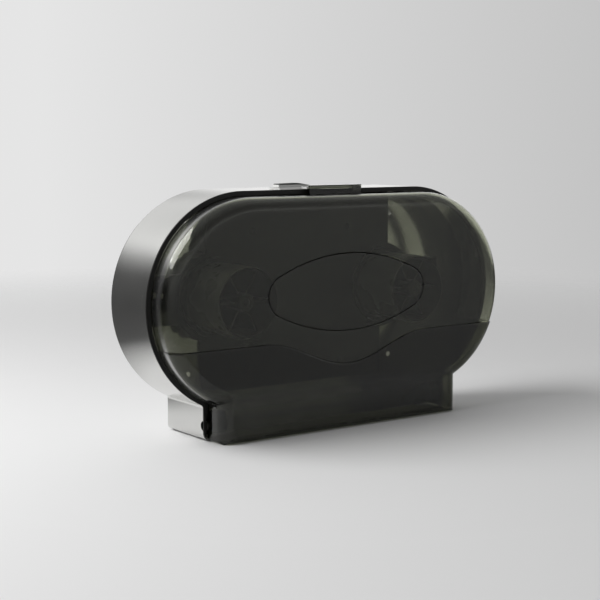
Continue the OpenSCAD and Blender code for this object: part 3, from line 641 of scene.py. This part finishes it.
def fastener_tree():
    """Geometry Nodes that put a domed fastener, with or without a cross recess, on each point."""
    found = bpy.data.node_groups.get("Fasteners")
    if found:
        return found
    tree = bpy.data.node_groups.new("Fasteners", "GeometryNodeTree")
    tree.interface.new_socket("Geometry", in_out="INPUT", socket_type="NodeSocketGeometry")
    for label in ("Head Radius", "Head Height", "Shank Radius", "Shank Length", "Recess"):
        tree.interface.new_socket(label, in_out="INPUT", socket_type="NodeSocketFloat")
    for label in ("Sides", "Seed"):
        tree.interface.new_socket(label, in_out="INPUT", socket_type="NodeSocketInt")
    tree.interface.new_socket("Material", in_out="INPUT", socket_type="NodeSocketMaterial")
    tree.interface.new_socket("Geometry", in_out="OUTPUT", socket_type="NodeSocketGeometry")
    given = tree.nodes.new("NodeGroupInput").outputs
    radius, height, sides = given["Head Radius"], given["Head Height"], given["Sides"]

    def offset(z):
        return put(tree, "ShaderNodeCombineXYZ", inputs={2: z}).outputs[0]

    def moved(shape, z):
        node = put(tree, "GeometryNodeTransform", inputs={"Geometry": shape, "Translation": offset(z)})
        return node.outputs[0]

    def block(x, y, z, at):
        size = put(tree, "ShaderNodeCombineXYZ", inputs={0: x, 1: y, 2: z})
        cube = put(tree, "GeometryNodeMeshCube", inputs={"Size": size.outputs[0]})
        return moved(cube.outputs[0], at)

    def boolean(operation, first, *others):
        node = put(tree, "GeometryNodeMeshBoolean", operation=operation, solver="EXACT")
        tree.links.new(first, node.inputs[0 if operation == "DIFFERENCE" else 1])
        for other in others:
            tree.links.new(other, node.inputs[1])
        return node.outputs[0]

    squares = maths(tree, "ADD", maths(tree, "MULTIPLY", radius, radius),
                    maths(tree, "MULTIPLY", height, height))
    dome_r = maths(tree, "DIVIDE", squares, maths(tree, "MULTIPLY", height, 2.0))
    ball = put(tree, "GeometryNodeMeshUVSphere", inputs={"Segments": sides, "Rings": 24, "Radius": dome_r})
    wide = maths(tree, "MULTIPLY", dome_r, 3.0)
    head = boolean("INTERSECT", moved(ball.outputs[0], maths(tree, "SUBTRACT", height, dome_r)),
                   block(wide, wide, maths(tree, "MULTIPLY", height, 2.0), height))
    shank_top = maths(tree, "MULTIPLY", height, 0.3)
    depth = maths(tree, "ADD", given["Shank Length"], shank_top)
    shank = put(tree, "GeometryNodeMeshCylinder", inputs={
        "Vertices": sides, "Radius": given["Shank Radius"], "Depth": depth})
    middle = maths(tree, "MULTIPLY", maths(tree, "SUBTRACT", shank_top, given["Shank Length"]), 0.5)
    solid = boolean("UNION", head, moved(shank.outputs[0], middle))
    long = maths(tree, "MULTIPLY", radius, 1.2)
    narrow = maths(tree, "MULTIPLY", radius, given["Recess"])
    cut = boolean("DIFFERENCE", solid, block(long, narrow, height, height),
                  block(narrow, long, height, height))
    crossed = maths(tree, "GREATER_THAN", given["Recess"], 0.0)
    choice = put(tree, "GeometryNodeSwitch", input_type="GEOMETRY", inputs={
        "Switch": crossed, "False": solid, "True": cut})
    turn = put(tree, "GeometryNodeInputNamedAttribute", data_type="FLOAT_VECTOR", inputs={"Name": "turn"})
    spin = put(tree, "FunctionNodeRandomValue", data_type="FLOAT", inputs={
        "Min": 0.0, "Max": math.pi / 2, "Seed": given["Seed"]})
    spun = put(tree, "FunctionNodeEulerToRotation", inputs={0: offset(spin.outputs["Value"])})
    stood = put(tree, "FunctionNodeEulerToRotation", inputs={0: turn.outputs[0]})
    final = put(tree, "FunctionNodeRotateRotation", rotation_space="LOCAL", inputs={
        0: stood.outputs[0], 1: spun.outputs[0]})
    placed = put(tree, "GeometryNodeInstanceOnPoints", inputs={
        "Points": given["Geometry"], "Instance": choice.outputs[0], "Rotation": final.outputs[0]})
    real = put(tree, "GeometryNodeRealizeInstances", inputs={0: placed.outputs[0]})
    dressed = put(tree, "GeometryNodeSetMaterial", inputs={
        "Geometry": real.outputs[0], "Material": given["Material"]})
    out = tree.nodes.new("NodeGroupOutput")
    tree.links.new(dressed.outputs[0], out.inputs[0])
    return tree


def places_on(node, axis, head):
    """Seats of a node's fasteners: where each head stands, grouped by the length of its shank."""
    work = bmesh.new()
    work.from_mesh(joined_mesh(node))
    left, seats = set(work.verts), {}
    while left:
        found = [left.pop()]
        for point in found:
            for edge in point.link_edges:
                other = edge.other_vert(point)
                if other in left:
                    left.remove(other)
                    found.append(other)
        low, high = (Vector([pick(p.co[i] for p in found) for i in range(3)]) for pick in (min, max))
        reach = abs((high - low).dot(axis)) - head
        middle = (low + high) / 2
        seat = middle + axis * (reach - head) / 2
        seats.setdefault(round(reach, 4), []).append(seat)
    work.free()
    return {reach: sorted(map(tuple, found)) for reach, found in seats.items()}


def fasteners(node, axis, shape, material, recess=0.0):
    """Stands domed fasteners in for those of a CAD node."""
    head_r, head_h, shank_r = shape
    axis = Vector(axis)
    sizes = settings()[2]
    turn = axis.to_track_quat("Z", "Y").to_euler()
    joined = bmesh.new()
    for reach, seats in sorted(places_on(node, axis, head_h).items()):
        mesh = bpy.data.meshes.new(node + "_points")
        mesh.from_pydata(seats, [], [])
        turns = mesh.attributes.new("turn", "FLOAT_VECTOR", "POINT")
        turns.data.foreach_set("vector", list(turn) * len(seats))
        points = add_object(node + "_points", mesh)
        tree = fastener_tree()
        modifier = points.modifiers.new("Fasteners", "NODES")
        modifier.node_group = tree
        values = {"Head Radius": head_r, "Head Height": head_h, "Shank Radius": shank_r,
                  "Shank Length": reach, "Recess": recess, "Sides": sizes.head_sides, "Seed": sizes.seed,
                  "Material": material}
        for item in tree.interface.items_tree:
            if item.in_out == "INPUT" and item.name in values:
                modifier[item.identifier] = values[item.name]
        graph = bpy.context.evaluated_depsgraph_get()
        made = bpy.data.meshes.new_from_object(points.evaluated_get(graph), depsgraph=graph)
        joined.from_mesh(made)
        bpy.data.objects.remove(points)
    smooth_up_to(joined, 35)
    mesh = bpy.data.meshes.new(node + "_finish")
    joined.to_mesh(mesh)
    joined.free()
    mesh.materials.append(material)
    return stand_in(add_object(node + "_finish", mesh), node)


# ---------- Pieces ----------


class DISPENSER_OT_housing(bpy.types.Operator):
    """Finishes the sheet metal shell"""

    bl_idname = "dispenser.housing"
    bl_label = "Sheet metal shell"

    def execute(self, context):
        made = skin("rear_housing", steel())
        made.data.materials.append(inner_steel())
        made.data.materials.append(side_steel())
        # Flat inner faces take the inner steel, other inner faces the side steel with its painted shade
        for face in made.data.polygons:
            flat_on = abs(face.normal.y)
            side = face.normal.y if flat_on > FLAT_ON else face.normal.dot(outward(face.center))
            inside = side < 0 and face.center.y > CAD_BOX[0][1] + RIM_END
            face.material_index = int(inside) * (1 if flat_on > 0.99 else 2)
        return {"FINISHED"}


class DISPENSER_OT_frame(bpy.types.Operator):
    """Finishes the black frame on the rim of the shell"""

    bl_idname = "dispenser.frame"
    bl_label = "Rim frame"

    def execute(self, context):
        made = skin("rim_frame", moulding())
        widen_lip(made.data, settings()[2].rim_lip)
        return {"FINISHED"}


class DISPENSER_OT_cover(bpy.types.Operator):
    """Finishes the smoked cover"""

    bl_idname = "dispenser.cover"
    bl_label = "Smoked cover"

    def execute(self, context):
        made = skin("front_cover", smoked(), angle=24.0)
        made.data.materials.append(painted_groove_shade())
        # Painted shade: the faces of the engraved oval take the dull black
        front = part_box("front_cover")[0][1]
        for face in made.data.polygons:
            corners = [made.data.vertices[i].co for i in face.vertices]
            near = all(p.y < front + GROOVE_REACH and off_oval(p) < GROOVE_SIDE for p in corners)
            inside = abs(face.normal.y) < FLAT_ON or face.center.y > front + GROOVE_FLOOR
            face.material_index = int(near and inside)
        return {"FINISHED"}


class DISPENSER_OT_bracket(bpy.types.Operator):
    """Finishes the roll bracket on the back wall"""

    bl_idname = "dispenser.bracket"
    bl_label = "Roll bracket"

    def execute(self, context):
        made = skin("roll_bracket", moulding())
        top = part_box("roll_bracket")[1][2]
        for point in made.data.vertices:
            if point.co.z > top - BRACKET_EDGE:
                point.co.z += settings()[2].bracket_top - top
        return {"FINISHED"}


class DISPENSER_OT_spindles(bpy.types.Operator):
    """Finishes the two core spindles with their axles"""

    bl_idname = "dispenser.spindles"
    bl_label = "Core spindles"

    def execute(self, context):
        sizes = settings()[2]
        for side, sign in (("left", -1), ("right", 1)):
            made = skin("core_spindle_" + side, drum())
            made.data.materials.append(moulding())
            for face in made.data.polygons:
                across = math.hypot(face.center.x - sign * sizes.end_x, face.center.z - sizes.end_z)
                face.material_index = int(face.normal.y < -0.6 or across < sizes.drum_r)
            for part in ("axle_", "axle_washer_", "axle_screw_"):
                skin(part + side, blackened())
        return {"FINISHED"}


class DISPENSER_OT_hinges(bpy.types.Operator):
    """Finishes the hinge blocks and pins"""

    bl_idname = "dispenser.hinges"
    bl_label = "Hinges"

    def execute(self, context):
        for side in ("left", "right"):
            skin("hinge_block_" + side, moulding())
            skin("hinge_pin_" + side, blackened())
        fasteners("hinge_block_screws", (0, 0, -1), BLOCK_SCREW, blackened(), settings()[2].recess)
        return {"FINISHED"}


class DISPENSER_OT_latch(bpy.types.Operator):
    """Finishes the slide latch"""

    bl_idname = "dispenser.latch"
    bl_label = "Slide latch"

    def execute(self, context):
        skin("latch_base", slide())
        skin("latch_slider", thumb())
        skin("latch_retainer", moulding())
        skin("latch_catch", moulding())
        fasteners("latch_base_rivets", (0, 0, 1), RIVET, zinc())
        fasteners("latch_screw", (0, 0, -1), LATCH_SCREW, zinc(), settings()[2].recess)
        return {"FINISHED"}


class DISPENSER_OT_tear_bars(bpy.types.Operator):
    """Finishes the serrated tear bars"""

    bl_idname = "dispenser.tear_bars"
    bl_label = "Tear bars"

    def execute(self, context):
        for side in ("left", "right"):
            skin("tear_bar_" + side, blade())
        fasteners("tear_bar_rivets", (0, 0, 1), RIVET, zinc())
        return {"FINISHED"}


class DISPENSER_OT_screws(bpy.types.Operator):
    """Makes the screws of the roll bracket"""

    bl_idname = "dispenser.screws"
    bl_label = "Bracket screws"

    def execute(self, context):
        made = fasteners("bracket_screws", (0, -1, 0), BRACKET_SCREW, blackened(), settings()[2].recess)
        made.data.materials.append(zinc())
        for face in made.data.polygons:
            face.material_index = int(abs(face.center.x) > ARM_START)
        return {"FINISHED"}


# ---------- Stage ----------


# Where the key box stands, the point it looks at, its width and height, and its power in watts
KEY_PLACE = (-1.119, 0.452, 1.275)
KEY_AIM = (0, 0, 0.15)
KEY_SIZE = (1.3, 0.9)
KEY_POWER = 23
# Where the camera stands, how far it looks down and is turned, in degrees, and its lens
CAMERA_PLACE = (-0.95780, -1.27714, 0.33003)
CAMERA_DOWN = 6.706
CAMERA_TURN = -36.052
CAMERA_LENS = 82.51
# Distances over which the floor fades for the eye, and for all other light
SEEN_FADE = (0.5, 2.0)
LIT_FADE = (0.40, 0.66)
# The floor turns clear where what lies below it hides this share of its underside
UNDER_REACH = 0.5
UNDER_SHARE = 0.06
# Brightness of the room from the nadir to the zenith: the far side, the near side and the right wall
ROOM_FOOT = -0.5
FAR_ROOM = ((-0.5, 0.10), (-0.1, 0.07), (0.20, 0.09), (0.32, 0.30), (0.43, 1.0), (0.55, 0.72), (1.0, 0.65))
NEAR_ROOM = ((-0.5, 0.25), (-0.12, 0.42), (0.1, 0.55), (0.3, 0.80), (0.45, 0.45), (0.7, 0.30), (1.0, 0.40))
RIGHT_ROOM = ((-0.5, 0.10), (-0.04, 0.10), (0.03, 1.0), (0.40, 1.15), (0.60, 0.95), (0.75, 0.6), (1.0, 0.7))
# Share of the room's light that matt surfaces do without
MATT_LOSS = 0.52
# Where the backdrop starts and ends to darken on the right, and how bright it is there
BACKDROP_SHADE = (0.43, 0.75, 1.0, 0.70)


def make_key():
    """A soft box that looks at the dispenser."""
    lamp = bpy.data.lights.new("Key box", "AREA")
    lamp.shape = "RECTANGLE"
    lamp.size, lamp.size_y = KEY_SIZE
    lamp.energy = KEY_POWER
    made = add_object("Key box", lamp)
    made.location = KEY_PLACE
    way = Vector(KEY_AIM) - Vector(KEY_PLACE)
    made.rotation_euler = way.to_track_quat("-Z", "Y").to_euler()


def make_camera():
    """The camera, which the scene looks through."""
    camera = add_object("Camera", bpy.data.cameras.new("Camera"))
    camera.location = CAMERA_PLACE
    camera.rotation_euler = (math.radians(90 - CAMERA_DOWN), 0, math.radians(CAMERA_TURN))
    camera.data.lens = CAMERA_LENS
    camera.data.sensor_width = 36
    bpy.context.scene.camera = camera


def make_floor():
    """A pale floor that fades into the backdrop, and is clear above what swings below it."""
    colours, _, sizes = settings()
    half = sizes.floor_size
    mesh = bpy.data.meshes.new("Floor")
    mesh.from_pydata([(-half, -half, 0), (half, -half, 0), (half, half, 0), (-half, half, 0)], [],
                     [(0, 1, 2, 3)])
    floor = add_object("Floor", mesh)
    material = bpy.data.materials.new("Pale floor")
    material.use_nodes = True
    tree = material.node_tree
    shader = tree.nodes["Principled BSDF"]
    shader.inputs["Base Color"].default_value = (*colours.floor, 1)
    shader.inputs["Roughness"].default_value = 0.9
    shader.inputs["Specular IOR Level"].default_value = 0.1
    away = put(tree, "ShaderNodeVectorMath", operation="LENGTH", inputs={0: place(tree)})
    oval = put(tree, "ShaderNodeVectorMath", operation="MULTIPLY_ADD",
               inputs={0: place(tree), 1: (1.0, 2.0, 1.0), 2: (0.0, 0.06, 0.0)})
    round_it = put(tree, "ShaderNodeVectorMath", operation="LENGTH", inputs={0: oval.outputs[0]})
    rays = put(tree, "ShaderNodeLightPath").outputs
    fade = put(tree, "ShaderNodeMix", data_type="FLOAT", inputs={
        0: maths(tree, "MAXIMUM", rays["Is Camera Ray"], rays["Is Transmission Ray"]),
        2: ramp(tree, round_it.outputs["Value"], *LIT_FADE),
        3: ramp(tree, away.outputs["Value"], *SEEN_FADE)})
    clear = put(tree, "ShaderNodeBsdfTransparent")
    beneath = put(tree, "ShaderNodeNewGeometry").outputs["Backfacing"]
    under = put(tree, "ShaderNodeAmbientOcclusion", samples=8, inside=True,
                inputs={"Distance": UNDER_REACH})
    swung = ramp(tree, under.outputs["AO"], 1.0, 1.0 - UNDER_SHARE)
    gone = maths(tree, "MAXIMUM", fade.outputs[0], maths(tree, "MAXIMUM", beneath, swung))
    mixed = put(tree, "ShaderNodeMixShader", inputs={0: gone})
    tree.links.new(shader.outputs[0], mixed.inputs[1])
    tree.links.new(clear.outputs[0], mixed.inputs[2])
    tree.links.new(mixed.outputs[0], tree.nodes["Material Output"].inputs["Surface"])
    mesh.materials.append(material)


def make_world():
    """A pale backdrop for the eye, and a room with a bright ceiling and a dark horizon for the light."""
    world = bpy.data.worlds.new("Studio")
    bpy.context.scene.world = world
    world.use_nodes = True
    tree = world.node_tree
    tree.nodes.clear()
    out = tree.nodes.new("ShaderNodeOutputWorld")
    way = put(tree, "ShaderNodeTexCoord").outputs["Generated"]
    across, forward, height = split(tree, way)
    risen = ramp(tree, height, ROOM_FOOT, 1.0)
    sides = []
    for stops in (FAR_ROOM, NEAR_ROOM, RIGHT_ROOM):
        bands = put(tree, "ShaderNodeValToRGB", inputs={0: risen})
        elements = bands.color_ramp.elements
        while len(elements) < len(stops):
            elements.new(0.5)
        for element, (at, value) in zip(elements, stops):
            element.position = (at - ROOM_FOOT) / (1.0 - ROOM_FOOT)
            element.color = (value, value, value, 1)
        sides.append(bands.outputs[0])
    far, near, right = sides
    back = blend(tree, ramp(tree, across, 0.36, 0.56), far, right)
    lit = blend(tree, ramp(tree, forward, 0.1, -0.5), back, near)
    rays = put(tree, "ShaderNodeLightPath").outputs
    level = maths(tree, "MULTIPLY_ADD", rays["Is Diffuse Ray"], -MATT_LOSS, 1.0)
    room = put(tree, "ShaderNodeBackground", inputs={"Color": lit, "Strength": level})
    tone = put(tree, "ShaderNodeVectorMath", operation="SCALE", inputs={
        0: settings()[0].backdrop, "Scale": ramp(tree, across, *BACKDROP_SHADE)})
    plain = put(tree, "ShaderNodeBackground", inputs={"Color": tone.outputs[0], "Strength": 1.0})
    mixed = put(tree, "ShaderNodeMixShader", inputs={0: rays["Is Camera Ray"]})
    tree.links.new(room.outputs[0], mixed.inputs[1])
    tree.links.new(plain.outputs[0], mixed.inputs[2])
    tree.links.new(mixed.outputs[0], out.inputs["Surface"])


class DISPENSER_OT_stage(bpy.types.Operator):
    """Sets the floor, the lights and the camera"""

    bl_idname = "dispenser.stage"
    bl_label = "Stage"

    def execute(self, context):
        context.scene.view_settings.view_transform = "Standard"
        make_floor()
        make_world()
        make_key()
        make_camera()
        return {"FINISHED"}


class DISPENSER_PT_panel(bpy.types.Panel):
    """Lists the pieces and the settings"""

    bl_idname = "DISPENSER_PT_panel"
    bl_label = "Dispenser"
    bl_space_type = "VIEW_3D"
    bl_region_type = "UI"
    bl_category = "Dispenser"

    def draw(self, context):
        for operator in OPERATORS:
            self.layout.operator(operator.bl_idname)
        for group_of in settings():
            for key in group_of.__annotations__:
                self.layout.prop(group_of, key)


OPERATORS = (
    DISPENSER_OT_housing,
    DISPENSER_OT_frame,
    DISPENSER_OT_bracket,
    DISPENSER_OT_screws,
    DISPENSER_OT_spindles,
    DISPENSER_OT_hinges,
    DISPENSER_OT_cover,
    DISPENSER_OT_tear_bars,
    DISPENSER_OT_latch,
    DISPENSER_OT_stage,
)
GROUPS = {
    "dispenser_colours": DispenserColours,
    "dispenser_finishes": DispenserFinishes,
    "dispenser_sizes": DispenserSizes,
}


def register():
    for kind in (*GROUPS.values(), *OPERATORS, DISPENSER_PT_panel):
        bpy.utils.register_class(kind)
    for name, kind in GROUPS.items():
        setattr(bpy.types.Scene, name, PointerProperty(type=kind))


def unregister():
    for name in GROUPS:
        delattr(bpy.types.Scene, name)
    for kind in (DISPENSER_PT_panel, *reversed(OPERATORS), *reversed(GROUPS.values())):
        bpy.utils.unregister_class(kind)


def main():
    register()
    for operator in OPERATORS:
        family, name = operator.bl_idname.split(".")
        getattr(getattr(bpy.ops, family), name)()


if __name__ == "__main__":
    main()
